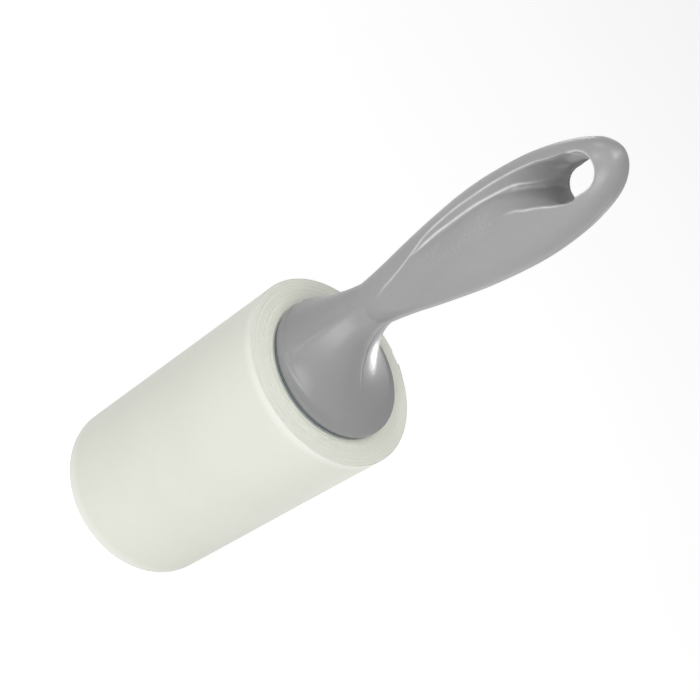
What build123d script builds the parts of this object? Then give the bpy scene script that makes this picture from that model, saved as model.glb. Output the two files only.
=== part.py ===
from build123d import *
import math
import os

os.makedirs("parts", exist_ok=True)

# Lint roller. Millimetres. The roll's axis is Z: the refill stands on its far
# end at z = 0 and its near end is at roll_length. The handle rises from there.
# The handle's two shells part at y = 0; the sculpted front faces -Y.

# ---- driving dimensions ------------------------------------------------------
roll_length = 100.0          # sheet width
roll_radius = 31.0           # outside of the outermost sheet
sheet_thickness = 0.14       # outermost sheet
wind_gap = 0.01              # air under the outermost sheet
core_inner_radius = 19.0
core_outer_radius = 20.5
sheet_open_angle = 8.0       # the free edge of the outermost sheet, degrees

barrel_inner_radius = 15.8
barrel_outer_radius = 17.3
barrel_low = 4.0
flange_low = 100.15
flange_high = 101.1
flange_radius = 22.2
rib_radius = 18.9
rib_count = 8
rib_width = 2.0

journal_near_radius = 6.0
journal_far_radius = 4.0
near_bore_radius = 6.06
far_bore_radius = 4.05
spindle_end = 8.8            # free end of the spindle
journal_near_low = 88.0

bell_radius = 22.8           # rim of the bell
bell_low = 101.4             # underside of the bell
bell_floor = 104.4           # top of the bell's floor
collar_radius = 8.0
floor_bore_radius = 8.05
rim_start = 3.0              # bell curve starts this far above the roll end
rim_rounding = 0.8           # rounding of the rim's lower edge
neck_at = 26.0               # bell curve ends here
wall = 1.7

hole_x = -8.3                # hang hole, through along Y
hole_radius = 5.3
hole_low = 98.8              # arc centres, above the roll end
hole_high = 104.4

pin_radius = 1.5
boss_radius = 3.1
tongue_half = 3.0            # half thickness of the spindle's tongue
tongue_pins = ((-10.2, 112.0), (-9.9, 120.0))
grip_pins = ((-8.6, 146.0), (-6.0, 178.0))

# ---- the handle's outline ----------------------------------------------------
# height above the roll end: left edge, right edge, half thickness
outline = [
    (26.0, -16.9, -3.1, 6.4),
    (31.0, -17.45, -2.35, 6.6),
    (37.0, -18.25, -1.3, 6.9),
    (43.0, -19.2, 0.0, 7.2),
    (49.0, -20.0, 1.15, 7.6),
    (55.0, -20.75, 2.25, 8.1),
    (61.0, -21.35, 3.25, 8.5),
    (67.0, -21.85, 4.0, 8.8),
    (73.0, -22.05, 4.6, 9.0),
    (79.0, -21.95, 5.0, 8.9),
    (85.0, -21.5, 5.05, 8.6),
    (91.0, -20.8, 4.7, 8.2),
    (97.0, -19.55, 3.95, 7.8),
    (102.0, -18.1, 2.8, 7.4),
    (106.0, -16.6, 1.5, 6.9),
    (109.0, -15.2, 0.1, 6.2),
    (111.5, -13.6, -1.7, 5.1),
    (113.5, -11.4, -3.9, 3.6),
    (114.6, -9.4, -5.8, 2.0),
]


def curve_at(col, s):
    """Smooth value of one outline column at height s."""
    n = len(outline)
    i = 0
    while i < n - 2 and s > outline[i + 1][0]:
        i += 1

    def slope(k):
        if k == 0:
            return (outline[1][col] - outline[0][col]) / (outline[1][0] - outline[0][0])
        if k == n - 1:
            return (outline[n - 1][col] - outline[n - 2][col]) / (outline[n - 1][0] - outline[n - 2][0])
        return (outline[k + 1][col] - outline[k - 1][col]) / (outline[k + 1][0] - outline[k - 1][0])

    h = outline[i + 1][0] - outline[i][0]
    t = (s - outline[i][0]) / h
    a, b = outline[i][col], outline[i + 1][col]
    ma, mb = slope(i) * h, slope(i + 1) * h
    return (
        a * (2 * t**3 - 3 * t**2 + 1)
        + ma * (t**3 - 2 * t**2 + t)
        + b * (3 * t**2 - 2 * t**3)
        + mb * (t**3 - t**2)
    )


def power(value, exponent):
    return math.copysign(abs(value) ** exponent, value)


def section_point(s, angle, inset=0.0, front_limit=None):
    """A point of the handle's cross-section at height s above the roll end.

    From neck_at upwards the section is a rounded oval. Below it, the section
    flares out to the round rim: like a quarter ellipse on the +X side, and
    like a straight flare on the -X side."""
    t = max(s, neck_at)
    left, right = curve_at(1, t) + inset, curve_at(2, t) - inset
    half = curve_at(3, t) - inset
    c, d = math.cos(angle), math.sin(angle)
    square = 3.2 if d > 0 else 2.3
    nx = (left + right) / 2 + (right - left) / 2 * power(c, 2 / square)
    depth = half if d > 0 or front_limit is None else min(half, front_limit)
    ny = depth * power(d, 2 / square)
    if s >= neck_at:
        return nx, ny
    b = max(0.0, (s - rim_start) / (neck_at - rim_start))
    w = (1 + c) / 2
    f = 1 - (1 - w) * (1 - b) ** 1.55 - w * (1 - math.sqrt(max(0.0, 1 - (1 - b) ** 2)))
    q = min(1.0, (s - (bell_low - roll_length)) / rim_rounding)
    r = bell_radius - inset - rim_rounding * (1 - math.sqrt(max(0.0, 1 - (1 - q) ** 2)))
    return r * c * (1 - f) + nx * f, r * d * (1 - f) + ny * f


def half_section(s, side, inset=0.0, front_limit=None, count=12):
    """Points from the +X edge to the -X edge, round the rear (side 1) or the
    front (side -1), with one more point past the parting plane at each end."""
    return [
        section_point(s, side * math.pi * k / count, inset, front_limit)
        for k in range(-1, count + 2)
    ]


# ---- handle shells -----------------------------------------------------------
outer_heights = [1.4, 1.55, 1.8, 2.2, 3.0, 3.35, 4.0, 5.0, 6.5, 8.5, 11.0, 14.0,
                 18.0, 22.0, 26.0, 31.0, 37.0, 43.0, 49.0, 55.0, 61.0, 67.0,
                 73.0, 79.0, 85.0, 91.0, 97.0, 102.0, 106.0, 109.0, 111.5, 113.5,
                 114.6]
# Straight-sided rings between close heights: one more is set halfway in each gap.
outer_heights = sorted(
    outer_heights + [(a + b) / 2 for a, b in zip(outer_heights, outer_heights[1:]) if b - a > 1.2]
)
# The cavity lies under the outer skin, deep in the rear and shallow in the
# front of the grip, so that the sculpted face keeps its wall.
cavity_heights = [4.4, 5.5, 7.0, 9.0, 12.0, 15.0, 19.0, 24.0, 28.0, 33.0, 40.0,
                  48.0, 58.0, 68.0, 78.0, 86.0]


def cavity_half_section(s, side):
    reach = 1.8 * max(0.0, min(1.0, (26.0 - s) / 18.0))   # follows the flare
    limit = None if s < 30.0 else 3.2
    return half_section(s + reach, side, wall, limit)


with BuildPart() as front_form:
    for s in outer_heights:
        with BuildSketch(Plane.XY.offset(roll_length + s)):
            with BuildLine():
                skin = Spline(*half_section(s, -1))
                Line(skin @ 1, skin @ 0)
            make_face()
    loft(ruled=True)
    split(bisect_by=Plane.XZ, keep=Keep.TOP)

with BuildPart() as rear_form:
    for s in outer_heights:
        with BuildSketch(Plane.XY.offset(roll_length + s)):
            with BuildLine():
                skin = Spline(*half_section(s, 1))
                Line(skin @ 1, skin @ 0)
            make_face()
    loft(ruled=True)
    split(bisect_by=Plane.XZ, keep=Keep.BOTTOM)

# Bosses stay standing in the cavities where the locating pins are.
with BuildPart() as front_cavity:
    for s in cavity_heights:
        with BuildSketch(Plane.XY.offset(roll_length + s)):
            with BuildLine():
                skin = Spline(*cavity_half_section(s, -1))
                Line(skin @ 1, skin @ 0)
            make_face()
    loft(ruled=True)
    with BuildSketch(Plane.XZ.offset(tongue_half)):
        with Locations(*tongue_pins):
            Circle(boss_radius)
    extrude(amount=20, mode=Mode.SUBTRACT)
    with BuildSketch(Plane.XZ.offset(-1)):
        with Locations(*grip_pins):
            Circle(boss_radius)
    extrude(amount=20, mode=Mode.SUBTRACT)

with BuildPart() as rear_cavity:
    for s in cavity_heights:
        with BuildSketch(Plane.XY.offset(roll_length + s)):
            with BuildLine():
                skin = Spline(*cavity_half_section(s, 1))
                Line(skin @ 1, skin @ 0)
            make_face()
    loft(ruled=True)
    with BuildSketch(Plane.XZ.offset(-tongue_half)):
        with Locations(*tongue_pins):
            Circle(boss_radius)
    extrude(amount=-20, mode=Mode.SUBTRACT)
    with BuildSketch(Plane.XZ.offset(1)):
        with Locations(*grip_pins):
            Circle(boss_radius)
    extrude(amount=-20, mode=Mode.SUBTRACT)

# Teardrop hollow of the front, with a floor that slopes down to the hang hole.
with BuildPart() as teardrop:
    with BuildSketch(Plane.XZ.offset(2.0)):
        with BuildLine():
            Spline(
                (-13.2, 146.0), (-16.6, 160.0), (-17.4, 174.0), (-16.4, 188.0),
                (-14.0, 199.0), (-11.0, 206.5), (-8.2, 209.0), (-5.0, 206.5),
                (-3.3, 200.0), (-4.6, 192.0), (-8.0, 182.0), (-11.2, 170.0),
                (-12.2, 158.0),
                periodic=True,
            )
        make_face()
    extrude(amount=14)
    split(bisect_by=Plane(origin=(0, -6.6, 150), x_dir=(1, 0, 0), z_dir=(0, -1, 0.035)),
          keep=Keep.TOP)

hole_middle = (hole_x, roll_length + (hole_low + hole_high) / 2)
with BuildPart() as handle_front_shell:
    add(front_form.part)
    add(front_cavity.part, mode=Mode.SUBTRACT)
    add(teardrop.part, mode=Mode.SUBTRACT)
    # bore in the floor for the spindle's collar
    with BuildSketch(Plane((0, 0, bell_low - 1), x_dir=(0, 1, 0), z_dir=(0, 0, 1))):
        Circle(floor_bore_radius)
    extrude(amount=bell_floor - bell_low + 1.5, mode=Mode.SUBTRACT)
    # hang hole
    with BuildSketch(Plane.XZ.offset(-1)):
        with Locations(hole_middle):
            SlotCenterToCenter(hole_high - hole_low, 2 * hole_radius, rotation=90)
    extrude(amount=20, mode=Mode.SUBTRACT)
    # locating pins
    with BuildSketch(Plane.XZ.offset(tongue_half + 0.5)):
        with Locations(*tongue_pins):
            Circle(pin_radius)
    extrude(amount=-(2 * tongue_half + 2.9))
    with BuildSketch(Plane.XZ.offset(0.5)):
        with Locations(*grip_pins):
            Circle(pin_radius)
    extrude(amount=-3.5)
handle_front_shell.part.label = "handle_front_shell"
export_step(handle_front_shell.part, "parts/handle_front_shell.step")

with BuildPart() as handle_rear_shell:
    add(rear_form.part)
    add(rear_cavity.part, mode=Mode.SUBTRACT)
    with BuildSketch(Plane((0, 0, bell_low - 1), x_dir=(0, -1, 0), z_dir=(0, 0, 1))):
        Circle(floor_bore_radius)
    extrude(amount=bell_floor - bell_low + 1.5, mode=Mode.SUBTRACT)
    with BuildSketch(Plane.XZ.offset(1)):
        with Locations(hole_middle):
            SlotCenterToCenter(hole_high - hole_low, 2 * hole_radius, rotation=90)
    extrude(amount=-20, mode=Mode.SUBTRACT)
    # sockets for the locating pins
    with BuildSketch(Plane.XZ.offset(-tongue_half + 0.5)):
        with Locations(*tongue_pins):
            Circle(pin_radius + 0.05)
    extrude(amount=-3.1, mode=Mode.SUBTRACT)
    with BuildSketch(Plane.XZ.offset(0.5)):
        with Locations(*grip_pins):
            Circle(pin_radius + 0.05)
    extrude(amount=-3.8, mode=Mode.SUBTRACT)
handle_rear_shell.part.label = "handle_rear_shell"
export_step(handle_rear_shell.part, "parts/handle_rear_shell.step")

# ---- spindle -----------------------------------------------------------------
# Far journal, cross-ribbed shaft, near journal, collar in the bell's floor,
# plate on the floor, and a tongue that the handle's pins pass through.
with BuildPart() as spindle:
    with BuildSketch(Plane.XY.offset(spindle_end)):
        Circle(journal_far_radius)
    extrude(amount=22.0 - spindle_end)
    chamfer(spindle.edges().sort_by(Axis.Z)[0], length=0.5)
    with BuildSketch(Plane.XY.offset(22.0)):
        Rectangle(11.6, 2.4)
        Rectangle(2.4, 11.6)
        Circle(3.2)
    extrude(amount=journal_near_low - 22.0)
    with BuildSketch(Plane.XY.offset(journal_near_low)):
        Circle(journal_near_radius)
    extrude(amount=bell_low - journal_near_low)
    with BuildSketch(Plane.XY.offset(bell_low)):
        Circle(collar_radius)
    extrude(amount=bell_floor - bell_low)
    with BuildSketch(Plane.XY.offset(bell_floor)):
        with Locations((-7.0, 0)):
            Rectangle(12.0, 19.0)
    extrude(amount=1.8)
    with BuildSketch(Plane.XZ):
        with BuildLine():
            Polyline(
                (-12.6, bell_floor), (4.2, bell_floor), (0.6, 108.0), (-3.2, 112.0),
                (-5.6, 117.0), (-6.8, 124.4), (-13.2, 124.4), (-14.2, 115.0),
                (-14.0, 108.0), (-12.6, bell_floor),
            )
        make_face()
    extrude(amount=tongue_half - 0.05, both=True)
    with BuildSketch(Plane.XZ):
        with Locations(*tongue_pins):
            Circle(pin_radius + 0.05)
    extrude(amount=10, both=True, mode=Mode.SUBTRACT)
    with BuildSketch(Plane.XY.offset(spindle_end)):
        Circle(1.2)
    extrude(amount=12.5, mode=Mode.SUBTRACT)
spindle.part.label = "spindle"
export_step(spindle.part, "parts/spindle.step")

with BuildPart() as washer:
    with BuildSketch(Plane.XY.offset(8.0)):
        Circle(5.5)
        Circle(1.7, mode=Mode.SUBTRACT)
    extrude(amount=spindle_end - 8.0)
washer.part.label = "washer"
export_step(washer.part, "parts/washer.step")

with BuildPart() as spindle_screw:
    with BuildSketch(Plane.XY.offset(6.0)):
        Circle(3.6)
    extrude(amount=2.0)
    fillet(spindle_screw.edges().sort_by(Axis.Z)[0], radius=0.9)
    with BuildSketch(Plane.XY.offset(8.0)):
        Circle(1.5)
    extrude(amount=12.0)
    chamfer(spindle_screw.edges().sort_by(Axis.Z)[-1], length=0.6)
    # cross recess in the head
    with BuildSketch(Plane.XY.offset(6.0)):
        Rectangle(3.6, 0.8)
        Rectangle(0.8, 3.6)
    extrude(amount=1.3, mode=Mode.SUBTRACT)
spindle_screw.part.label = "spindle_screw"
export_step(spindle_screw.part, "parts/spindle_screw.step")

# ---- rotating sleeve ---------------------------------------------------------
with BuildPart() as sleeve_barrel:
    with BuildSketch(Plane.XY.offset(barrel_low)):
        Circle(barrel_outer_radius)
        with PolarLocations((barrel_outer_radius + rib_radius) / 2 - 0.2, rib_count):
            Rectangle(rib_radius - barrel_outer_radius + 0.4, rib_width)
        Circle(barrel_inner_radius, mode=Mode.SUBTRACT)
    extrude(amount=flange_low - barrel_low)
    # spring fingers: a U-shaped slit round each of four tongues
    for k in range(4):
        with BuildSketch(Plane.XZ.rotated((0, 0, 22.5 + 90 * k))):
            with Locations((0, 62.0)):
                Rectangle(8.0, 1.2)
            with Locations((-3.6, 74.0), (3.6, 74.0)):
                Rectangle(0.8, 24.0)
        extrude(amount=20.0, mode=Mode.SUBTRACT)
sleeve_barrel.part.label = "sleeve_barrel"
export_step(sleeve_barrel.part, "parts/sleeve_barrel.step")

with BuildPart() as near_bearing_hub:
    with BuildSketch(Plane.XY.offset(flange_low)):
        Circle(flange_radius)
    extrude(amount=flange_high - flange_low)
    fillet(near_bearing_hub.edges().group_by(Axis.Z)[-1], radius=0.4)
    with BuildSketch(Plane.XY.offset(90.0)):
        Circle(barrel_inner_radius - 0.02)
        Circle(14.0, mode=Mode.SUBTRACT)
    extrude(amount=flange_low - 90.0)
    with BuildSketch(Plane.XY.offset(90.0)):
        Circle(8.4)
    extrude(amount=flange_low - 90.0)
    with BuildSketch(Plane.XY.offset(flange_low - 1.6)):
        Circle(14.6)
    extrude(amount=1.6)
    with BuildSketch(Plane.XY.offset(89.0)):
        Circle(near_bore_radius)
    extrude(amount=14.0, mode=Mode.SUBTRACT)
near_bearing_hub.part.label = "near_bearing_hub"
export_step(near_bearing_hub.part, "parts/near_bearing_hub.step")

with BuildPart() as far_bearing_hub:
    with BuildSketch(Plane.XY.offset(barrel_low)):
        Circle(barrel_inner_radius - 0.02)
        Circle(14.0, mode=Mode.SUBTRACT)
    extrude(amount=14.0)
    with BuildSketch(Plane.XY.offset(9.1)):
        Circle(7.0)
    extrude(amount=8.9)
    with BuildSketch(Plane.XY.offset(14.4)):
        Circle(14.6)
    extrude(amount=1.8)
    with BuildSketch(Plane.XY.offset(9.0)):
        Circle(far_bore_radius)
    extrude(amount=10.0, mode=Mode.SUBTRACT)
far_bearing_hub.part.label = "far_bearing_hub"
export_step(far_bearing_hub.part, "parts/far_bearing_hub.step")

with BuildPart() as far_end_cap:
    with BuildSketch(Plane.XY.offset(1.2)):
        Circle(18.3)
    extrude(amount=barrel_low - 1.2)
    fillet(far_end_cap.edges().sort_by(Axis.Z)[0], radius=1.0)
    # finger recess in the outside of the cap
    with BuildSketch(Plane.XY.offset(1.2)):
        Circle(12.0)
    extrude(amount=1.3, mode=Mode.SUBTRACT)
    with BuildSketch(Plane.XY.offset(barrel_low)):
        Circle(13.96)
        Circle(12.4, mode=Mode.SUBTRACT)
    extrude(amount=4.0)
far_end_cap.part.label = "far_end_cap"
export_step(far_end_cap.part, "parts/far_end_cap.step")

# ---- refill ------------------------------------------------------------------
with BuildPart() as core_tube:
    with BuildSketch(Plane.XY):
        Circle(core_outer_radius)
        Circle(core_inner_radius, mode=Mode.SUBTRACT)
    extrude(amount=roll_length)
core_tube.part.label = "core_tube"
export_step(core_tube.part, "parts/core_tube.step")

sheet_inner_radius = roll_radius - sheet_thickness
with BuildPart() as tape_winding:
    with BuildSketch(Plane.XY):
        Circle(sheet_inner_radius - wind_gap)
        Circle(core_outer_radius + wind_gap, mode=Mode.SUBTRACT)
    extrude(amount=roll_length)
tape_winding.part.label = "tape_winding"
export_step(tape_winding.part, "parts/tape_winding.step")

# The outermost sheet, open at the back where its free edge ends.
a0 = math.radians(90 + sheet_open_angle / 2)
a1 = math.radians(90 - sheet_open_angle / 2)
am = math.radians(270)
with BuildPart() as outer_sheet:
    with BuildSketch(Plane.XY):
        with BuildLine():
            l1 = ThreePointArc(
                (roll_radius * math.cos(a0), roll_radius * math.sin(a0)),
                (roll_radius * math.cos(am), roll_radius * math.sin(am)),
                (roll_radius * math.cos(a1), roll_radius * math.sin(a1)),
            )
            l2 = ThreePointArc(
                (sheet_inner_radius * math.cos(a0), sheet_inner_radius * math.sin(a0)),
                (sheet_inner_radius * math.cos(am), sheet_inner_radius * math.sin(am)),
                (sheet_inner_radius * math.cos(a1), sheet_inner_radius * math.sin(a1)),
            )
            Line(l1 @ 0, l2 @ 0)
            Line(l1 @ 1, l2 @ 1)
        make_face()
    extrude(amount=roll_length)
outer_sheet.part.label = "outer_sheet"
export_step(outer_sheet.part, "parts/outer_sheet.step")
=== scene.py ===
import math

import bpy
import bmesh
import numpy as np
from mathutils import Matrix, Vector


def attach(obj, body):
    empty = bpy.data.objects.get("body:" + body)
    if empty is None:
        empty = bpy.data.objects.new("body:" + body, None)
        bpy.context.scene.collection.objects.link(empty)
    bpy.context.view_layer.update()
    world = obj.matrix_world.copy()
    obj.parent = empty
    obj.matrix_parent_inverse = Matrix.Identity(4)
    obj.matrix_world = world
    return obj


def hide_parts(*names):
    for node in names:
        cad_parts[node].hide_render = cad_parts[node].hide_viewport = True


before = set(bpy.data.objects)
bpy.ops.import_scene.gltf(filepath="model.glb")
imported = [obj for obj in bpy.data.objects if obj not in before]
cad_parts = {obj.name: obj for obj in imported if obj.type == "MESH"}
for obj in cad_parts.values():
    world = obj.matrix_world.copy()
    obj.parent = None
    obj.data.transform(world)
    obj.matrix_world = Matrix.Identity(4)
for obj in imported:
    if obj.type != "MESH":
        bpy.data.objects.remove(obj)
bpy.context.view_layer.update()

scene = bpy.context.scene
MM = 0.001
ROLL = 100.0          # height of the roll's near end, mm


# ---------------------------------------------------------------------------
# small tools (lengths in mm until a mesh is made)
# ---------------------------------------------------------------------------
def new_mesh(name, verts, faces):
    """A mesh object from points in mm."""
    me = bpy.data.meshes.new(name)
    me.from_pydata((np.asarray(verts, float) * MM).tolist(), [], faces)
    me.update()
    ob = bpy.data.objects.new(name, me)
    scene.collection.objects.link(ob)
    return ob


def grid_faces(rows, cols, wrap=True, flip=False):
    out = []
    n = cols if wrap else cols - 1
    for i in range(rows - 1):
        for j in range(n):
            k = (j + 1) % cols
            a, b, c, d = i * cols + j, i * cols + k, (i + 1) * cols + k, (i + 1) * cols + j
            out.append((a, d, c, b) if flip else (a, b, c, d))
    return out


def fix_normals(ob):
    bm = bmesh.new()
    bm.from_mesh(ob.data)
    bmesh.ops.recalc_face_normals(bm, faces=bm.faces)
    bm.to_mesh(ob.data)
    bm.free()


def shade(ob, degrees=35.0):
    """Smooth shading, with edges sharper than this kept sharp."""
    me = ob.data
    bm = bmesh.new()
    bm.from_mesh(me)
    lim = math.radians(degrees)
    for e in bm.edges:
        if len(e.link_faces) == 2:
            e.smooth = e.calc_face_angle(0.0) < lim
    for f in bm.faces:
        f.smooth = True
    bm.to_mesh(me)
    bm.free()


def boolean(ob, other, op, solver="MANIFOLD"):
    """Applies one boolean; falls back to the exact solver."""
    for way in (solver, "EXACT"):
        before = len(ob.data.vertices)
        m = ob.modifiers.new("cut", "BOOLEAN")
        m.operation = op
        m.object = other
        m.solver = way
        dg = bpy.context.evaluated_depsgraph_get()
        dg.update()
        made = bpy.data.meshes.new_from_object(ob.evaluated_get(dg), depsgraph=dg)
        ob.modifiers.remove(m)
        same = len(made.vertices) == before
        if len(made.vertices) > 50 and not same:
            old = ob.data
            made.name = old.name
            ob.data = made
            bpy.data.meshes.remove(old)
            return True
        bpy.data.meshes.remove(made)
    print("boolean changed nothing:", ob.name, other.name, op)
    return False


def drop(*obs):
    for o in obs:
        me = o.data
        bpy.data.objects.remove(o)
        if me and me.users == 0:
            bpy.data.meshes.remove(me)


def revolve(name, profile, steps, radius_of=None):
    """A closed ring about Z from a closed (r, z) profile, in mm."""
    n = len(profile)
    verts = []
    for k in range(steps):
        a = 2 * math.pi * k / steps
        c, s = math.cos(a), math.sin(a)
        for (r, z) in profile:
            verts.append((r * c, r * s, z))
    faces = []
    for k in range(steps):
        q = (k + 1) % steps
        for i in range(n):
            j = (i + 1) % n
            faces.append((k * n + i, q * n + i, q * n + j, k * n + j))
    ob = new_mesh(name, verts, faces)
    fix_normals(ob)
    return ob


def prism(name, points, lo, hi, axis="y", far=None):
    """A prism between lo and hi along y or z, from a closed outline at lo and
    another one, if it is given, at hi."""
    n = len(points)
    verts = []
    for h in (lo, hi):
        for (a, b) in (points if h == lo or far is None else far):
            verts.append((a, h, b) if axis == "y" else (a, b, h))
    faces = [tuple(range(n)), tuple(range(2 * n - 1, n - 1, -1))]
    for i in range(n):
        j = (i + 1) % n
        faces.append((i, i + n, j + n, j))
    ob = new_mesh(name, verts, faces)
    fix_normals(ob)
    return ob


def circle(cx, cz, r, n=48):
    return [(cx + r * math.cos(2 * math.pi * k / n), cz + r * math.sin(2 * math.pi * k / n)) for k in range(n)]


def box_mesh(name, lo, hi):
    x0, y0, z0 = lo
    x1_, y1, z1 = hi
    v = [(x, y, z) for x in (x0, x1_) for y in (y0, y1) for z in (z0, z1)]
    f = [(0, 1, 3, 2), (4, 6, 7, 5), (0, 4, 5, 1), (2, 3, 7, 6), (0, 2, 6, 4), (1, 5, 7, 3)]
    ob = new_mesh(name, v, f)
    fix_normals(ob)
    return ob


def step01(a, b, x):
    t = np.clip((np.asarray(x, float) - a) / (b - a), 0, 1)
    return t * t * (3 - 2 * t)


def smin(a, b, k):
    h = np.clip(0.5 + 0.5 * (b - a) / k, 0, 1)
    return b * (1 - h) + a * h - k * h * (1 - h)


def smax(a, b, k):
    return -smin(-a, -b, k)


def hermite(xs, ys, x):
    xs, ys, x = np.asarray(xs, float), np.asarray(ys, float), np.asarray(x, float)
    m = np.empty_like(ys)
    m[1:-1] = (ys[2:] - ys[:-2]) / (xs[2:] - xs[:-2])
    m[0] = (ys[1] - ys[0]) / (xs[1] - xs[0])
    m[-1] = (ys[-1] - ys[-2]) / (xs[-1] - xs[-2])
    x = np.clip(x, xs[0], xs[-1])
    i = np.clip(np.searchsorted(xs, x, side="right") - 1, 0, len(xs) - 2)
    h = xs[i + 1] - xs[i]
    t = (x - xs[i]) / h
    return (ys[i] * (2 * t**3 - 3 * t**2 + 1) + m[i] * h * (t**3 - 2 * t**2 + t)
            + ys[i + 1] * (3 * t**2 - 2 * t**3) + m[i + 1] * h * (t**3 - t**2))


def spow(v, e):
    return np.sign(v) * np.abs(v) ** e


# ---------------------------------------------------------------------------
# the handle's form (s = height above the roll's near end)
# ---------------------------------------------------------------------------
OUT = np.array([
    (26.0, -16.9, -3.1, 6.4), (31.0, -17.45, -2.35, 6.6), (37.0, -18.25, -1.3, 6.9),
    (43.0, -19.2, 0.0, 7.2), (49.0, -20.0, 1.15, 7.6), (55.0, -20.75, 2.25, 8.1),
    (61.0, -21.35, 3.25, 8.5), (67.0, -21.85, 4.0, 8.8), (73.0, -22.05, 4.6, 9.0),
    (79.0, -21.95, 5.0, 8.9), (85.0, -21.5, 5.05, 8.6), (91.0, -20.8, 4.7, 8.2),
    (97.0, -19.55, 3.95, 7.8), (102.0, -18.1, 2.8, 7.4), (106.0, -16.6, 1.5, 6.9),
    (109.0, -15.2, 0.1, 6.2), (111.5, -13.6, -1.7, 5.1), (113.5, -11.4, -3.9, 3.6),
    (114.6, -9.4, -5.8, 2.0)])
TIP = 115.2
TIP_X = -7.4
# the same columns over the root of the distance below the tip
CLOSE = np.array([
    (0.0, TIP_X, TIP_X, 0.0), (0.35, -8.35, -6.45, 0.95), (0.7746, -9.4, -5.8 + 0.25, 2.0),
    (1.3038, -11.4 + 0.15, -3.9, 3.6), (1.9235, -13.6, -1.7, 5.1), (2.49, -15.2, 0.1, 6.2),
    (3.0332, -16.6, 1.5, 6.9)])
NECK = 26.0
RIM = 22.8
BELL_LOW = 1.4
N_FRONT, N_REAR = 2.3, 3.2

# left crease, right crest and valley line of the front's hollow: (s, x)
CREASE = np.array([
    (26.0, -7.3), (28.9, -8.2), (31.3, -9.1), (35.1, -10.4), (40.1, -11.5), (45.1, -12.8),
    (49.9, -14.4), (54.7, -16.1), (59.4, -17.0), (64.3, -17.5), (69.1, -17.8),
    (74.0, -17.8), (80.1, -17.8), (84.9, -17.55), (89.8, -17.0), (94.7, -16.1),
    (98.3, -14.95), (102.0, -13.97), (104.3, -13.1)])
CREST = np.array([
    (40.0, -15.0), (46.0, -12.2), (50.5, -9.9), (55.0, -8.8), (60.0, -8.3), (65.0, -8.0), (70.0, -8.0),
    (76.0, -8.1), (81.3, -8.2), (85.0, -7.5), (87.3, -6.4), (89.7, -5.6), (92.0, -4.7),
    (94.3, -3.6), (96.5, -2.8), (98.8, -2.1), (101.1, -1.9)])
VALLEY = np.array([
    (46.0, -13.2), (49.6, -13.7), (54.3, -14.7), (58.9, -15.3), (63.6, -15.5),
    (68.5, -15.65), (73.4, -15.65), (78.2, -15.4), (83.0, -15.05), (86.4, -14.5),
    (88.6, -13.6), (91.4, -12.7)])

# hang hole: x, radius, heights of the two arc centres, at the front and the rear
HOLE_FRONT = (-7.85, 5.25, 98.6, 103.5)
HOLE_REAR = (-7.55, 4.8, 98.2, 103.0)


def edges_at(s):
    """Left edge, right edge and half thickness at height s (26 and above)."""
    t = np.clip(s, NECK, 114.6)
    body = [hermite(OUT[:, 0], OUT[:, k], t) for k in (1, 2, 3)]
    q = np.sqrt(np.maximum(0.0, TIP - np.asarray(s, float)))
    end = [hermite(CLOSE[:, 0], CLOSE[:, k], q) for k in (1, 2, 3)]
    return tuple(np.where(s > 109.0, e, b) for e, b in zip(end, body))


def front_depth(x, s):
    """Depth of the plain front face at (x, s), before it is sculpted."""
    left, right, half = edges_at(s)
    u = np.clip(np.abs((x - (left + right) / 2) / np.maximum((right - left) / 2, 1e-6)), 0, 1)
    return half * np.maximum(0.0, 1 - u**N_FRONT) ** (1 / N_FRONT)


def hole_distance(x, s, hole=HOLE_FRONT):
    """Distance outside the hang hole's outline, and sin squared of the
    direction seen from its lower end."""
    hx, hr, lo, hi = hole
    ds = np.where(s < lo, s - lo, np.where(s > hi, s - hi, 0.0))
    dx = x - hx
    r = np.hypot(dx, ds)
    side = np.where(ds < 0, (dx / np.maximum(r, 1e-6)) ** 2, 1.0)
    return r - hr, side


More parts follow.
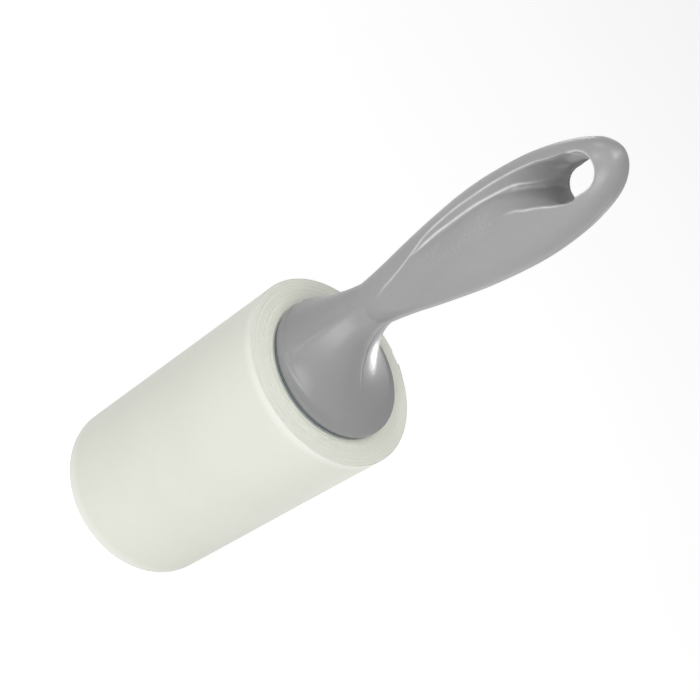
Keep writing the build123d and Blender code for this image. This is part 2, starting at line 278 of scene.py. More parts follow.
def sculpted(x, s, plain):
    """Depth of the front face with its crease, hollow and ramp."""
    x1 = hermite(CREASE[:, 0], CREASE[:, 1], s)
    xc = hermite(CREST[:, 0], CREST[:, 1], s)
    xv = hermite(VALLEY[:, 0], VALLEY[:, 1], s)
    n1 = front_depth(x1, s)
    nc = front_depth(xc, s)
    # narrow band right of the left crease, sinking to the valley
    mb = np.interp(s, [26, 75, 85, 91, 95, 98, 101], [0.6, 0.6, 0.9, 1.5, 3.0, 8.0, 9.0])
    band = n1 - mb * (x - x1)
    # long slope from the valley up to the right crest
    ms = np.interp(s, [26, 50, 60, 76, 80, 84, 88, 92, 96, 100],
                   [0.35, 0.40, 0.48, 0.48, 0.58, 0.78, 1.15, 2.0, 4.5, 8.0])
    slope = nc - ms * (xc - x) + 4.0 * (1 - step01(42, 56, s))
    kc = np.interp(s, [50, 76, 80, 84, 90], [2.5, 2.5, 1.2, 0.6, 0.35])
    # ramp that runs out of the hollow and through the hang hole
    d, side = hole_distance(x, s)
    hv = n1 - mb * (xv - x1)
    floor = smin(-6.6 + (0.93 + 7 * side**2) * np.maximum(d, -1.0), hv - 0.25, 1.2)
    sharp = np.interp(s, [50, 84, 92], [0.5, 0.4, 0.3])
    kv = np.interp(s, [76, 84, 90, 96], [0.35, 0.9, 2.6, 3.0])
    h = smax(smin(plain, band, sharp), smin(plain, slope, kc), kv)
    kf = np.interp(s, [76, 84, 92], [0.2, 0.7, 1.4])
    h = smax(h, smin(plain, floor, 0.3), kf)
    # plane on the right of the lower part of the crease
    mp = np.interp(s, [26, 30, 38, 46, 56, 62], [0.0, 0.25, 0.30, 0.25, 0.12, 0.0])
    plane = n1 - mp * (x - x1) + 2.4 * step01(36, 58, s)
    h = smin(h, np.where(x > x1 - 0.6, plane, plain + 3), 0.5)
    mid = np.clip((x + 9.5) / 3.0, 0, 1)
    top = (1 - step01(102.8, 104.6, s)) * (1 - mid) + (1 - step01(98.6, 101.0, s)) * mid
    w = step01(26, 36, s) * top
    return plain + w * (np.minimum(h, plain) - plain)


def hole_rounding(d, r):
    """How far the face is turned in next to the hole's edge."""
    t = np.clip((r - d) / r, 0, 1)
    return r * (1 - np.sqrt(np.maximum(0, 1 - t**2)))


def handle_surface(S, PHI):
    """The handle's outer skin; angle 0 is +X and pi/2 is the rear (+Y)."""
    c, d = np.cos(PHI), np.sin(PHI)
    left, right, half = edges_at(np.maximum(S, NECK))
    n = np.where(d > 0, N_REAR, N_FRONT)
    gx = (left + right) / 2 + (right - left) / 2 * spow(c, 2 / n)
    gy = half * spow(d, 2 / n)
    # bell: a quarter ellipse on +X, a straight flare on -X
    b = np.clip((S - 3.2) / (NECK - 3.2), 0, 1)
    w = (1 + c) / 2
    f = (1 - w) * (1 - (1 - b) ** 1.55) + w * (1 - (1 - b) ** 1.78) ** (1 / 1.78)
    q = np.clip((S - BELL_LOW) / 0.75, 0, 1)
    r = RIM - 0.75 * (1 - np.sqrt(np.maximum(0, 1 - (1 - q) ** 2)))
    # the lip's upper edge, rounded, and the shallow crease above it
    r = r - 0.32 * np.exp(-((S - 3.75) / 0.36) ** 2) - 0.10 * step01(2.8, 3.7, S) * (S < 3.75)
    bx, by = r * c * (1 - f) + gx * f, r * d * (1 - f) + gy * f
    # soft ridge down the bell's front, and a slightly hollow fan beside it
    ridge = np.radians(np.interp(S, [3, 6.6, 10.5, 15, 19.6, 25.5], [-99.5, -98, -95.5, -93, -89, -84]))
    fade = step01(3.6, 8.0, S) * (1 - step01(23, 27, S))
    bump = 0.55 * np.exp(-((PHI - ridge) / 0.16) ** 2)
    span = np.clip((PHI - ridge) / (0 - ridge), 0, 1)
    dish = 0.55 * np.sin(math.pi * span) ** 1.5 * (PHI > ridge) * (PHI < 0)
    out = fade * (bump - dish)
    rr = np.hypot(bx - gx * f * 0.4, by) + 1e-9
    bx, by = bx + out * bx / rr, by + out * by / rr
    X = np.where(S >= NECK, gx, bx)
    Y = np.where(S >= NECK, gy, by)
    # sculpted front face
    up = S >= NECK
    h = sculpted(X, S, -Y)
    dist, side = hole_distance(X, S)
    front = np.where(up & (d < 0), -h, Y)
    dist_r, side_r = hole_distance(X, S, HOLE_REAR)
    edge_f = hole_rounding(dist, 0.9) * (0.25 + 0.75 * side)
    edge_r = hole_rounding(dist_r, 0.8) * (0.3 + 0.7 * side_r)
    near = up & (dist < 3) & (S > 85)
    # a thin skin is left inside the hole, for the cut that follows
    limit = half - 0.5
    front = np.where(near & (d < 0), np.minimum(front + np.where(dist > -0.01, edge_f, 1.0), limit - 0.3), front)
    front = np.where(near & (d > 0), Y - np.where(dist_r > -0.01, edge_r, 0.8) * step01(1.5, 3.5, Y), front)
    Y = np.where(up, front, Y)
    # fine groove along the parting line
    gv = 0.16 * np.clip(1 - np.abs(np.sin(PHI)) / 0.016, 0, 1) * step01(1.9, 4.0, S) * (1 - step01(111, 113, S))
    X = X - gv * np.sign(np.cos(PHI))
    return np.stack([X, Y, ROLL + S], -1)


def handle_rows():
    a = [1.4, 1.42, 1.47, 1.55, 1.65, 1.78, 1.95, 2.15, 2.35, 2.55, 2.7, 2.85, 2.97, 3.07, 3.17,
         3.27, 3.37, 3.47, 3.57, 3.66, 3.75, 3.84, 3.94, 4.05, 4.18, 4.35, 4.58]
    a += list(np.arange(4.85, 26.0, 0.32))
    a += list(np.arange(26.0, 86.0, 0.4))
    a += list(np.arange(86.0, 112.6, 0.17))
    k = np.linspace(0, math.pi / 2, 16)[:-1]
    a += list(112.6 + (TIP - 0.002 - 112.6) * np.sin(k))
    return np.array(a)


def handle_angles(front=150, rear=84):
    f = np.linspace(-math.pi, 0, front, endpoint=False)
    r = np.linspace(0, math.pi, rear, endpoint=False)
    extra = []
    for base in (0.0, math.pi):
        for t in (-0.016, -0.008, 0.008, 0.016):
            extra.append(base + t)
    both = np.concatenate([f, r, [a if a <= math.pi else a - 2 * math.pi for a in extra]])
    both = np.unique(np.round(np.where(both >= math.pi - 1e-9, both - 2 * math.pi, both), 9))
    keep = [both[0]]
    for v in both[1:]:
        if v - keep[-1] > 0.0045:
            keep.append(v)
    return np.array(keep)


def handle_body():
    rows, ang = handle_rows(), handle_angles()
    S, P = np.meshgrid(rows, ang, indexing="ij")
    G = handle_surface(S, P).reshape(-1, 3)
    nr, nc = len(rows), len(ang)
    faces = grid_faces(nr, nc, True, False)
    verts = np.vstack([G, [[TIP_X, 0, ROLL + TIP]], [[0, 0, ROLL + BELL_LOW]]])
    top, low = nr * nc, nr * nc + 1
    for j in range(nc):
        k = (j + 1) % nc
        faces.append(((nr - 1) * nc + j, (nr - 1) * nc + k, top))
        faces.append((k, j, low))
    ob = new_mesh("handle_body", verts, faces)
    fix_normals(ob)
    return ob


def handle_cavity():
    """Inside of the shells: the skin moved in by the wall."""
    rows = np.concatenate([np.arange(4.4, 12, 0.5), np.arange(12, 30, 1.0), np.arange(30, 79.5, 1.5)])
    ang = np.linspace(-math.pi, math.pi, 96, endpoint=False)
    S0, P = np.meshgrid(rows, ang, indexing="ij")
    S = S0 + 1.8 * np.clip((26.0 - S0) / 18.0, 0, 1)
    wall = 1.7
    c, d = np.cos(P), np.sin(P)
    left, right, half = edges_at(np.maximum(S, NECK))
    left, right, half = left + wall, right - wall, half - wall
    n = np.where(d > 0, N_REAR, N_FRONT)
    depth = np.where((d < 0) & (S0 >= 30), np.minimum(half, 3.2), half)
    gx = (left + right) / 2 + (right - left) / 2 * spow(c, 2 / n)
    gy = depth * spow(d, 2 / n)
    b = np.clip((S - 3.2) / (NECK - 3.2), 0, 1)
    w = (1 + c) / 2
    f = (1 - w) * (1 - (1 - b) ** 1.55) + w * (1 - (1 - b) ** 2) ** 0.5
    r = RIM - wall
    X = np.where(S >= NECK, gx, r * c * (1 - f) + gx * f)
    Y = np.where(S >= NECK, gy, r * d * (1 - f) + gy * f)
    # the hollow of the front keeps its wall
    front = front_depth(np.clip(X, -21, 4.5), np.maximum(S, NECK))
    skin = sculpted(X, np.maximum(S, NECK), front)
    Y = np.where((d < 0) & (S0 >= 28), np.maximum(Y, -np.maximum(skin - 1.5, 0.0)), Y)
    G = np.stack([X, Y, ROLL + S0], -1).reshape(-1, 3)
    nr, nc = len(rows), len(ang)
    faces = grid_faces(nr, nc)
    verts = np.vstack([G, [[G[-nc:, 0].mean(), 0.3, ROLL + rows[-1]]], [[0, 0, ROLL + rows[0]]]])
    for j in range(nc):
        k = (j + 1) % nc
        faces.append(((nr - 1) * nc + j, (nr - 1) * nc + k, nr * nc))
        faces.append((k, j, nr * nc + 1))
    ob = new_mesh("handle_cavity", verts, faces)
    fix_normals(ob)
    return ob


def obround(cx, lo, hi, r, n=48):
    pts = []
    for k in range(n + 1):
        a = math.pi * k / n
        pts.append((cx + r * math.cos(a), hi + r * math.sin(a)))
    for k in range(n + 1):
        a = math.pi + math.pi * k / n
        pts.append((cx + r * math.cos(a), lo + r * math.sin(a)))
    return pts


def painted_edge_highlight(ob):
    """Marks the painted highlight lines along the creases and the hole's edge: paler colour standing in for the
    light these edges catch.
    """
    me = ob.data
    co = np.zeros(len(me.vertices) * 3)
    me.vertices.foreach_get("co", co)
    co = co.reshape(-1, 3) / MM
    x, y, s = co[:, 0], co[:, 1], co[:, 2] - ROLL
    skin = -y > sculpted(x, np.maximum(s, NECK), front_depth(x, np.maximum(s, NECK))) - 0.9

    def line(table, lo, hi, width, fade):
        d = np.abs(x - hermite(table[:, 0], table[:, 1], s))
        return np.exp(-(d / width) ** 2) * step01(lo, lo + fade, s) * (1 - step01(hi - fade, hi, s))

    w = 0.62 * line(CREASE, 30, 105.5, 0.26, 9) * (s < 104.3)
    w = np.maximum(w, 0.85 * line(VALLEY, 47, 93.5, 0.27, 8))
    w = np.maximum(w, 0.75 * line(CREST, 80, 102.0, 0.30, 7))
    d, side = hole_distance(x, s)
    start = np.where(x < -8.0, step01(102.6, 104.6, s), step01(98.5, 101.5, s))
    ring = 0.65 * np.exp(-((d - 0.15) / 0.30) ** 2) * start
    w = np.where(skin & (s > 26), np.maximum(w, ring), 0.0)
    # weight of the painted highlight along the creases and the hole's edge
    a = me.attributes.new("painted_edge_highlight", "FLOAT", "POINT")
    a.data.foreach_set("value", w.astype(np.float32))


TONGUE_PINS = ((-10.2, 112.0), (-9.9, 120.0))
GRIP_PINS = ((-8.6, 146.0), (-6.0, 178.0))


def build_handle():
    body = handle_body()
    cavity = handle_cavity()
    # bosses stay standing in the cavity round the locating pins
    for i, (x, z) in enumerate(TONGUE_PINS):
        for lo, hi in ((-20, -3.0), (3.0, 20)):
            b = prism("boss", circle(x, z, 3.1), lo, hi)
            boolean(cavity, b, "DIFFERENCE")
            drop(b)
    for i, (x, z) in enumerate(GRIP_PINS):
        for lo, hi in ((-20, -0.02), (0.02, 20)):
            b = prism("boss", circle(x, z, 3.1), lo, hi)
            boolean(cavity, b, "DIFFERENCE")
            drop(b)
    # the hole is drafted: its outline shrinks a little towards the rear
    def outline(q):
        a = [f * (1 - q) + r * q for f, r in zip(HOLE_FRONT, HOLE_REAR)]
        return obround(a[0], ROLL + a[2], ROLL + a[3], a[1])
    hole = prism("hole", outline(-0.93), -20, 20, far=outline(1.93))
    boolean(body, hole, "DIFFERENCE")
    boolean(body, cavity, "DIFFERENCE")
    bore = prism("bore", circle(0, 0, 8.05, 96), ROLL + 0.5, ROLL + 5.0, axis="z")
    boolean(body, bore, "DIFFERENCE")
    drop(hole, cavity, bore)
    shells = []
    for name, lo, hi in (("handle_front", (-60, -40, 90), (60, 0, 230)),
                         ("handle_rear", (-60, 0, 90), (60, 40, 230))):
        half = body.copy()
        half.data = body.data.copy()
        half.name = half.data.name = name
        scene.collection.objects.link(half)
        b = box_mesh("half_box", lo, hi)
        boolean(half, b, "INTERSECT")
        drop(b)
        shells.append(half)
    drop(body)
    front, rear = shells
    for (x, z), y0, y1 in [(TONGUE_PINS[0], -3.4, 4.9), (TONGUE_PINS[1], -3.4, 4.9),
                           (GRIP_PINS[0], -0.4, 2.9), (GRIP_PINS[1], -0.4, 2.9)]:
        p = prism("pin", circle(x, z, 1.5), y0, y1)
        boolean(front, p, "UNION")
        drop(p)
        q = prism("socket", circle(x, z, 1.55), 2.5 if y0 < -1 else -0.5, y1 + 0.3)
        boolean(rear, q, "DIFFERENCE")
        drop(q)
    for ob in shells:
        shade(ob, 34)
        # painted highlight lines along the creases and the hole's edge, stored as a colour attribute
        painted_edge_highlight(ob)
    return front, rear


# ---------------------------------------------------------------------------
# materials
# ---------------------------------------------------------------------------
def srgb(r, g, b):
    def lin(v):
        v /= 255.0
        return v / 12.92 if v <= 0.04045 else ((v + 0.055) / 1.055) ** 2.4
    return (lin(r), lin(g), lin(b), 1.0)


class Nodes:
    """Short calls for building a node tree."""

    def __init__(self, name):
        self.mat = bpy.data.materials.new(name)
        self.mat.use_nodes = True
        self.nt = self.mat.node_tree
        self.bsdf = next(n for n in self.nt.nodes if n.type == "BSDF_PRINCIPLED")
        self.coord = self.nt.nodes.new("ShaderNodeTexCoord")

    def add(self, kind, **props):
        n = self.nt.nodes.new(kind)
        for k, v in props.items():
            setattr(n, k, v)
        return n

    def link(self, a, b):
        self.nt.links.new(a, b)

    def mapping(self, scale=(1, 1, 1), loc=(0, 0, 0)):
        m = self.add("ShaderNodeMapping")
        m.inputs["Scale"].default_value = scale
        m.inputs["Location"].default_value = loc
        self.link(self.coord.outputs["Object"], m.inputs["Vector"])
        return m.outputs["Vector"]

    def noise(self, scale, detail=3.0, rough=0.55, vector=None):
        n = self.add("ShaderNodeTexNoise")
        n.inputs["Scale"].default_value = scale
        n.inputs["Detail"].default_value = detail
        n.inputs["Roughness"].default_value = rough
        self.link(vector if vector is not None else self.coord.outputs["Object"], n.inputs["Vector"])
        return n.outputs["Fac"]

    def ramp(self, fac, stops):
        r = self.add("ShaderNodeValToRGB")
        e = r.color_ramp.elements
        while len(e) < len(stops):
            e.new(0.5)
        for i, (p, c) in enumerate(stops):
            e[i].position = p
            e[i].color = c
        self.link(fac, r.inputs["Fac"])
        return r.outputs["Color"]

    def math(self, op, a, b=None, c=None):
        m = self.add("ShaderNodeMath", operation=op)
        for i, v in enumerate((a, b, c)):
            if v is None:
                continue
            if isinstance(v, (int, float)):
                m.inputs[i].default_value = v
            else:
                self.link(v, m.inputs[i])
        return m.outputs[0]

    def maprange(self, v, a, b, lo, hi):
        m = self.add("ShaderNodeMapRange")
        for i, x in zip((1, 2, 3, 4), (a, b, lo, hi)):
            m.inputs[i].default_value = x
        self.link(v, m.inputs[0])
        return m.outputs[0]

    def mix(self, fac, a, b, blend="MIX"):
        m = self.add("ShaderNodeMix", data_type="RGBA", blend_type=blend)
        if isinstance(fac, (int, float)):
            m.inputs[0].default_value = fac
        else:
            self.link(fac, m.inputs[0])
        for i, v in ((6, a), (7, b)):
            if isinstance(v, tuple):
                m.inputs[i].default_value = v
            else:
                self.link(v, m.inputs[i])
        return m.outputs[2]

    def bump(self, height, strength, distance, normal=None):
        b = self.add("ShaderNodeBump")
        b.inputs["Strength"].default_value = strength
        b.inputs["Distance"].default_value = distance
        self.link(height, b.inputs["Height"])
        if normal is not None:
            self.link(normal, b.inputs["Normal"])
        return b.outputs["Normal"]

    def set(self, **kw):
        for k, v in kw.items():
            sock = self.bsdf.inputs[k.replace("_", " ")]
            if isinstance(v, (int, float, tuple)):
                sock.default_value = v
            else:
                self.link(v, sock)
        return self.mat

    def xyz(self):
        s = self.add("ShaderNodeSeparateXYZ")
        self.link(self.coord.outputs["Object"], s.inputs[0])
        return s.outputs


def handle_plastic():
    n = Nodes("handle_plastic")
    cloud = n.noise(28.0, 4.0)
    fine = n.noise(900.0, 4.0, 0.6)
    pores = n.noise(4200.0, 2.0, 0.5)
    base = n.ramp(cloud, [(0.3, srgb(143, 143, 143)), (0.7, srgb(150, 150, 151))])
    base = n.mix(n.maprange(fine, 0.3, 0.7, 0.0, 0.18), base, srgb(158, 158, 158))
    # painted highlight: the attribute's lines along the creases and the hole's edge lighten the base colour,
    # standing in for the light these edges catch
    highlight_mark = n.add("ShaderNodeAttribute", attribute_name="painted_edge_highlight")
    edge = n.math("MULTIPLY", highlight_mark.outputs["Fac"], n.maprange(n.noise(260.0, 3.0), 0.25, 0.6, 0.6, 1.0))
    base = n.mix(edge, base, srgb(222, 222, 222))
    # fine wavy flow texture of the moulding on the grip's crest
    x, y, z = n.xyz()[0], n.xyz()[1], n.xyz()[2]
    wave = n.add("ShaderNodeTexWave", wave_type="BANDS", bands_direction="Z")
    wave.inputs["Scale"].default_value = 330.0
    wave.inputs["Distortion"].default_value = 9.0
    wave.inputs["Detail"].default_value = 3.0
    wave.inputs["Detail Scale"].default_value = 2.0
    n.link(n.coord.outputs["Object"], wave.inputs["Vector"])
    along = n.math("MULTIPLY", n.maprange(z, 0.148, 0.157, 0.0, 1.0), n.maprange(z, 0.176, 0.185, 1.0, 0.0))
    across = n.math("MULTIPLY", n.maprange(x, -0.0135, -0.0115, 0.0, 1.0), n.maprange(x, -0.0085, -0.0060, 1.0, 0.0))
    front = n.maprange(y, -0.003, -0.005, 0.0, 1.0)
    patch = n.math("MULTIPLY", n.math("MULTIPLY", along, across), front)
    patch = n.math("MULTIPLY", patch, n.maprange(n.noise(220.0, 2.0), 0.4, 0.6, 0.2, 1.0))
    ripples = n.math("MULTIPLY", wave.outputs["Fac"], patch)
    base = n.mix(n.math("MULTIPLY", ripples, 0.14), base, srgb(205, 205, 205))
    rough = n.maprange(n.noise(160.0, 4.0, 0.6), 0.3, 0.7, 0.28, 0.38)
    normal = n.bump(pores, 0.12, 0.00006)
    normal = n.bump(fine, 0.10, 0.00025, normal)
    normal = n.bump(ripples, 0.5, 0.00012, normal)
    return n.set(Base_Color=base, Roughness=rough, Normal=normal, Specular_IOR_Level=0.5, IOR=1.5)


def slate_plastic():
    n = Nodes("slate_hub_plastic")
    base = n.ramp(n.noise(120.0, 4.0), [(0.3, srgb(96, 106, 112)), (0.7, srgb(108, 118, 124))])
    fine = n.noise(2500.0, 3.0)
    return n.set(Base_Color=base, Roughness=n.maprange(n.noise(400.0), 0.3, 0.7, 0.35, 0.5),
                 Normal=n.bump(fine, 0.2, 0.0001))


def pale_plastic(name, lo, hi):
    n = Nodes(name)
    base = n.ramp(n.noise(90.0, 4.0), [(0.3, lo), (0.7, hi)])
    fine = n.noise(2200.0, 3.0)
    flow = n.noise(40.0, 2.0, 0.5, n.mapping((6, 6, 0.6)))
    normal = n.bump(fine, 0.15, 0.0001)
    normal = n.bump(flow, 0.1, 0.0004, normal)
    return n.set(Base_Color=base, Roughness=n.maprange(n.noise(300.0), 0.3, 0.7, 0.36, 0.5), Normal=normal)


def board():
    n = Nodes("paperboard")
    fibre = n.noise(260.0, 6.0, 0.65, n.mapping((1, 1, 0.25)))
    speck = n.noise(1600.0, 2.0, 0.5)
    base = n.ramp(fibre, [(0.3, srgb(158, 132, 98)), (0.55, srgb(176, 150, 114)), (0.75, srgb(190, 166, 132))])
    base = n.mix(n.maprange(speck, 0.62, 0.74, 0.0, 0.5), base, srgb(120, 98, 70))
    normal = n.bump(fibre, 0.4, 0.0003)
    return n.set(Base_Color=base, Roughness=0.9, Normal=normal, Specular_IOR_Level=0.2)


def steel():
    n = Nodes("plated_steel")
    turn = n.noise(900.0, 3.0, 0.5, n.mapping((1, 1, 8)))
    base = n.ramp(n.noise(300.0), [(0.3, srgb(176, 178, 182)), (0.7, srgb(200, 202, 205))])
    return n.set(Base_Color=base, Metallic=1.0, Roughness=n.maprange(turn, 0.3, 0.7, 0.22, 0.38),
                 Normal=n.bump(turn, 0.15, 0.0001))


def sheet_paper():
    n = Nodes("sheet_paper")
    x, y, z = n.xyz()[0], n.xyz()[1], n.xyz()[2]
    cloud = n.noise(22.0, 4.0, 0.55)
    fibre = n.noise(520.0, 6.0, 0.7)
    base = n.ramp(cloud, [(0.25, srgb(213, 215, 204)), (0.75, srgb(219, 221, 210))])
    # the dry strips at both ends, without adhesive, are whiter and duller
    far = n.maprange(z, 0.0024, 0.0046, 1.0, 0.0)
    near = n.maprange(z, 0.0965, 0.0985, 0.0, 1.0)
    dry = n.math("MAXIMUM", far, near)
    base = n.mix(n.math("MULTIPLY", dry, 0.7), base, srgb(230, 232, 225))
    base = n.mix(n.maprange(fibre, 0.35, 0.7, 0.0, 0.10), base, srgb(202, 203, 192))
    rough = n.math("ADD", n.maprange(fibre, 0.3, 0.7, 0.42, 0.52), n.math("MULTIPLY", dry, 0.2))
    normal = n.bump(fibre, 0.15, 0.00012)
    return n.set(Base_Color=base, Roughness=rough, Normal=normal, Specular_IOR_Level=0.4,
                 Subsurface_Weight=0.0)


def wound_paper():
    """End face of the winding: thin layers seen edge on."""
    n = Nodes("wound_paper_edges")
    x, y, z = n.xyz()[0], n.xyz()[1], n.xyz()[2]
    r = n.math("SQRT", n.math("ADD", n.math("MULTIPLY", x, x), n.math("MULTIPLY", y, y)))
    wob = n.noise(60.0, 2.0, 0.5)
    rr = n.math("ADD", n.math("MULTIPLY", r, 1000.0), n.math("MULTIPLY", wob, 0.35))
    bands = n.add("ShaderNodeTexNoise", noise_dimensions="1D")
    bands.inputs["Scale"].default_value = 1.5
    bands.inputs["Detail"].default_value = 3.0
    n.link(rr, bands.inputs["W"])
    lines = n.add("ShaderNodeTexNoise", noise_dimensions="1D")
    lines.inputs["Scale"].default_value = 7.0
    lines.inputs["Detail"].default_value = 2.0
    n.link(rr, lines.inputs["W"])
    base = n.ramp(bands.outputs["Fac"], [(0.3, srgb(226, 228, 218)), (0.55, srgb(234, 235, 226)), (0.75, srgb(228, 231, 221))])
    base = n.mix(n.maprange(lines.outputs["Fac"], 0.4, 0.72, 0.0, 0.6), base, srgb(244, 245, 236))
    base = n.mix(n.maprange(lines.outputs["Fac"], 0.38, 0.24, 0.0, 0.55), base, srgb(211, 213, 203))
    fibre = n.noise(900.0, 4.0, 0.6)
    base = n.mix(n.maprange(fibre, 0.4, 0.7, 0.0, 0.12), base, srgb(214, 214, 204))
    normal = n.bump(lines.outputs["Fac"], 0.25, 0.00012)
    return n.set(Base_Color=base, Roughness=0.75, Normal=normal, Specular_IOR_Level=0.3)


# ---------------------------------------------------------------------------
# the refill
# ---------------------------------------------------------------------------
def winding():
    """The wound stack: a closed ring whose ends show the layers."""
    rng = np.random.RandomState(7)
    r0, r1 = 20.5, 30.84
    layers = 46
    rs = np.linspace(r0 + 0.02, r1, layers + 1)
    steps = 288
    ang = np.linspace(0, 2 * math.pi, steps, endpoint=False)
    lift_n = rng.uniform(-0.055, 0.055, layers) + 0.05 * np.sin(np.arange(layers) * 0.9)
    lift_f = rng.uniform(-0.055, 0.055, layers)
    ph = rng.uniform(0, 2 * math.pi, (layers, 2))
    amp = rng.uniform(0.0, 0.05, (layers, 2))
    prof_r, prof_kind = [], []
    groove = 0.035
    for i in range(layers):
        a, b = rs[i], rs[i + 1]
        prof_r += [a, a + groove, b - groove]
        prof_kind += [(i, 1), (i, 0), (i, 0)]
    prof_r.append(rs[-1])
    prof_kind.append((layers - 1, 1))
    m = len(prof_r)
    verts = []
    for a in ang:
        c, s = math.cos(a), math.sin(a)
        ring_n, ring_f = [], []
        for r, (i, deep) in zip(prof_r, prof_kind):
            wob = amp[i, 0] * math.sin(a + ph[i, 0]) + amp[i, 1] * math.sin(2 * a + ph[i, 1])
            zn = 100.0 - 0.12 + lift_n[i] + wob * 0.8 - (0.10 if deep else 0.0)
            zf = 0.16 - lift_f[i] + wob * 0.6 + (0.10 if deep else 0.0)
            ring_n.append((r * c, r * s, min(zn, 99.99)))
            ring_f.append((r * c, r * s, max(zf, 0.02)))
        verts += ring_n + ring_f[::-1]
    n = 2 * m
    faces = []
    for k in range(steps):
        q = (k + 1) % steps
        for i in range(n):
            j = (i + 1) % n
            faces.append((k * n + i, q * n + i, q * n + j, k * n + j))
    ob = new_mesh("tape_winding_wound", verts, faces)
    fix_normals(ob)
    shade(ob, 40)
    return ob


def sheet():
    """The outermost sheet: one turn of thin paper with its free edge at the
    back, a little loose there."""
    open_deg = 8.0
    steps = 300
    a0 = math.radians(90 + open_deg / 2)
    a1 = math.radians(90 - open_deg / 2 + 360)
    rows = [0.0, 0.06, 0.2, 0.6, 1.5, 3.0, 4.2] + list(np.linspace(6, 94, 34)) + [95.8, 97.2, 98.5, 99.4, 99.8, 99.94, 100.0]
    t = 0.14
    verts, n = [], len(rows)
    for k in range(steps + 1):
        u = k / steps
        a = a0 + (a1 - a0) * u
        # the free edge stands off by a little
        free = 0.28 * max(0.0, (u - 0.965) / 0.035) ** 2
        for side in (0, 1):
            for z in (rows if side == 0 else rows[::-1]):
                edge = min(z, 100 - z)
                soft = 0.035 * (1 - min(1.0, edge / 0.35)) ** 2
                wave = 0.035 * math.sin(3 * a + 0.06 * z) * math.sin(math.pi * z / 100)
                base = 30.86 + (t if side == 0 else 0.0)
                r = base + (wave * 0.5 if side == 0 else 0.0) * 0.4 + free - (soft if side == 0 else -soft)
                r = min(r, 31.0 + 0.3)
                verts.append((r * math.cos(a), r * math.sin(a), z))
    m = 2 * n
    faces = []
    for k in range(steps):
        for i in range(m):
            j = (i + 1) % m
            faces.append((k * m + i, (k + 1) * m + i, (k + 1) * m + j, k * m + j))
    for k, flip in ((0, False), (steps, True)):
        for i in range(n - 1):
            a_, b_, c_, d_ = k * m + i, k * m + i + 1, k * m + (m - 2 - i), k * m + (m - 1 - i)
            faces.append((a_, b_, c_, d_) if not flip else (a_, d_, c_, b_))
    ob = new_mesh("outer_sheet_paper", verts, faces)
    fix_normals(ob)
    shade(ob, 50)
    return ob


# ---------------------------------------------------------------------------
# assembly
# ---------------------------------------------------------------------------
mats = {
    "handle": handle_plastic(),
    "slate": slate_plastic(),
    "sleeve": pale_plastic("sleeve_plastic", srgb(196, 200, 202), srgb(210, 213, 214)),
    "spindle": pale_plastic("spindle_plastic", srgb(150, 152, 154), srgb(164, 166, 168)),
    "board": board(),
    "steel": steel(),
    "sheet": sheet_paper(),
    "wound": wound_paper(),
}

front, rear = build_handle()
for ob, node in ((front, "handle_front_shell"), (rear, "handle_rear_shell")):
    ob.data.materials.clear()
    ob.data.materials.append(mats["handle"])
    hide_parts(node)
    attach(ob, "handle")

wind = winding()
wind.data.materials.append(mats["wound"])
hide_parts("tape_winding")
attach(wind, "refill")

paper = sheet()
paper.data.materials.append(mats["sheet"])
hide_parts("outer_sheet")
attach(paper, "refill")

for node, mat in (("spindle", "spindle"), ("washer", "steel"), ("spindle_screw", "steel"),
                  ("sleeve_barrel", "sleeve"), ("near_bearing_hub", "slate"),
                  ("far_bearing_hub", "slate"), ("far_end_cap", "sleeve"), ("core_tube", "board")):
    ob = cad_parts[node]
    ob.data.materials.clear()
    ob.data.materials.append(mats[mat])

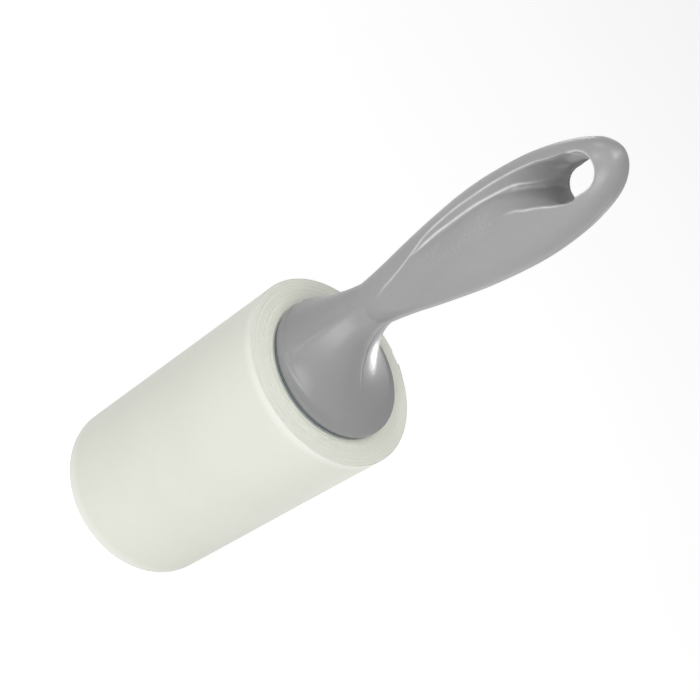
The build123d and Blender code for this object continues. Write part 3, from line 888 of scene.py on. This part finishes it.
# ---------------------------------------------------------------------------
# floor, light and camera
# ---------------------------------------------------------------------------
floor = new_mesh("floor", [(-4000, -4000, 0), (4000, -4000, 0), (4000, 4000, 0), (-4000, 4000, 0)], [(0, 1, 2, 3)])
fm = Nodes("floor_pale")
tint = fm.ramp(fm.noise(3.0, 2.0), [(0.3, (0.50, 0.50, 0.50, 1)), (0.7, (0.52, 0.52, 0.52, 1))])
fm.set(Base_Color=tint, Roughness=0.9, Specular_IOR_Level=0.0,
       Emission_Color=(1, 1, 1, 1), Emission_Strength=0.66)
floor.data.materials.append(fm.mat)

world = bpy.data.worlds.new("studio")
scene.world = world
world.use_nodes = True
bg = world.node_tree.nodes["Background"]
bg.inputs["Color"].default_value = (1.0, 1.0, 1.0, 1)
bg.inputs["Strength"].default_value = 0.38


def area(name, loc, target, size, power, size_y=None, color=(1, 1, 1)):
    data = bpy.data.lights.new(name, "AREA")
    data.energy = power
    data.color = color
    data.shape = "RECTANGLE"
    data.size = size
    data.size_y = size_y or size
    ob = bpy.data.objects.new(name, data)
    scene.collection.objects.link(ob)
    ob.location = loc
    ob.rotation_euler = (Vector(target) - Vector(loc)).to_track_quat("-Z", "Y").to_euler()
    ob.visible_camera = False
    return ob


area("top", (-0.05, -0.10, 0.95), (0, 0, 0.12), 0.35, 2.4)
area("front_right", (0.24, -0.40, 0.33), (0, 0, 0.17), 0.30, 1.12)
area("front_left", (-0.20, -0.42, 0.40), (0, 0, 0.12), 0.09, 0.24)
tip = area("tip_left", (-0.37, -0.10, 0.43), (-0.011, -0.004, 0.205), 0.10, 0.0045)
rim = area("rim_left", (-0.48, 0.38, 0.08), (-0.02, 0, 0.10), 0.12, 0.019, 0.24)
back = area("rim_back", (0.16, 0.36, 0.06), (0.012, 0.012, 0.105), 0.26, 0.030, 0.10)
for lamp, cone in ((tip, 0.40), (rim, 0.60), (back, 0.30)):
    lamp.data.spread = cone

cam_data = bpy.data.cameras.new("camera")
cam = bpy.data.objects.new("camera", cam_data)
scene.collection.objects.link(cam)
cam_data.lens = 64.85
cam_data.sensor_width = 36.0
cam_data.clip_start = 0.01
cam_data.clip_end = 50.0
ax = Vector((0.39093, 0.64499, 0.65663))
ay = Vector((-0.89967, 0.11711, 0.42058))
az = Vector((0.19437, -0.75516, 0.62606))
rot = Matrix((ax, ay, az)).transposed()
cam.matrix_world = Matrix.Translation((0.07052, -0.28285, 0.34409)) @ rot.to_4x4()
scene.camera = cam
scene.view_settings.view_transform = "Standard"
scene.view_settings.look = "None"

bpy.context.view_layer.update()
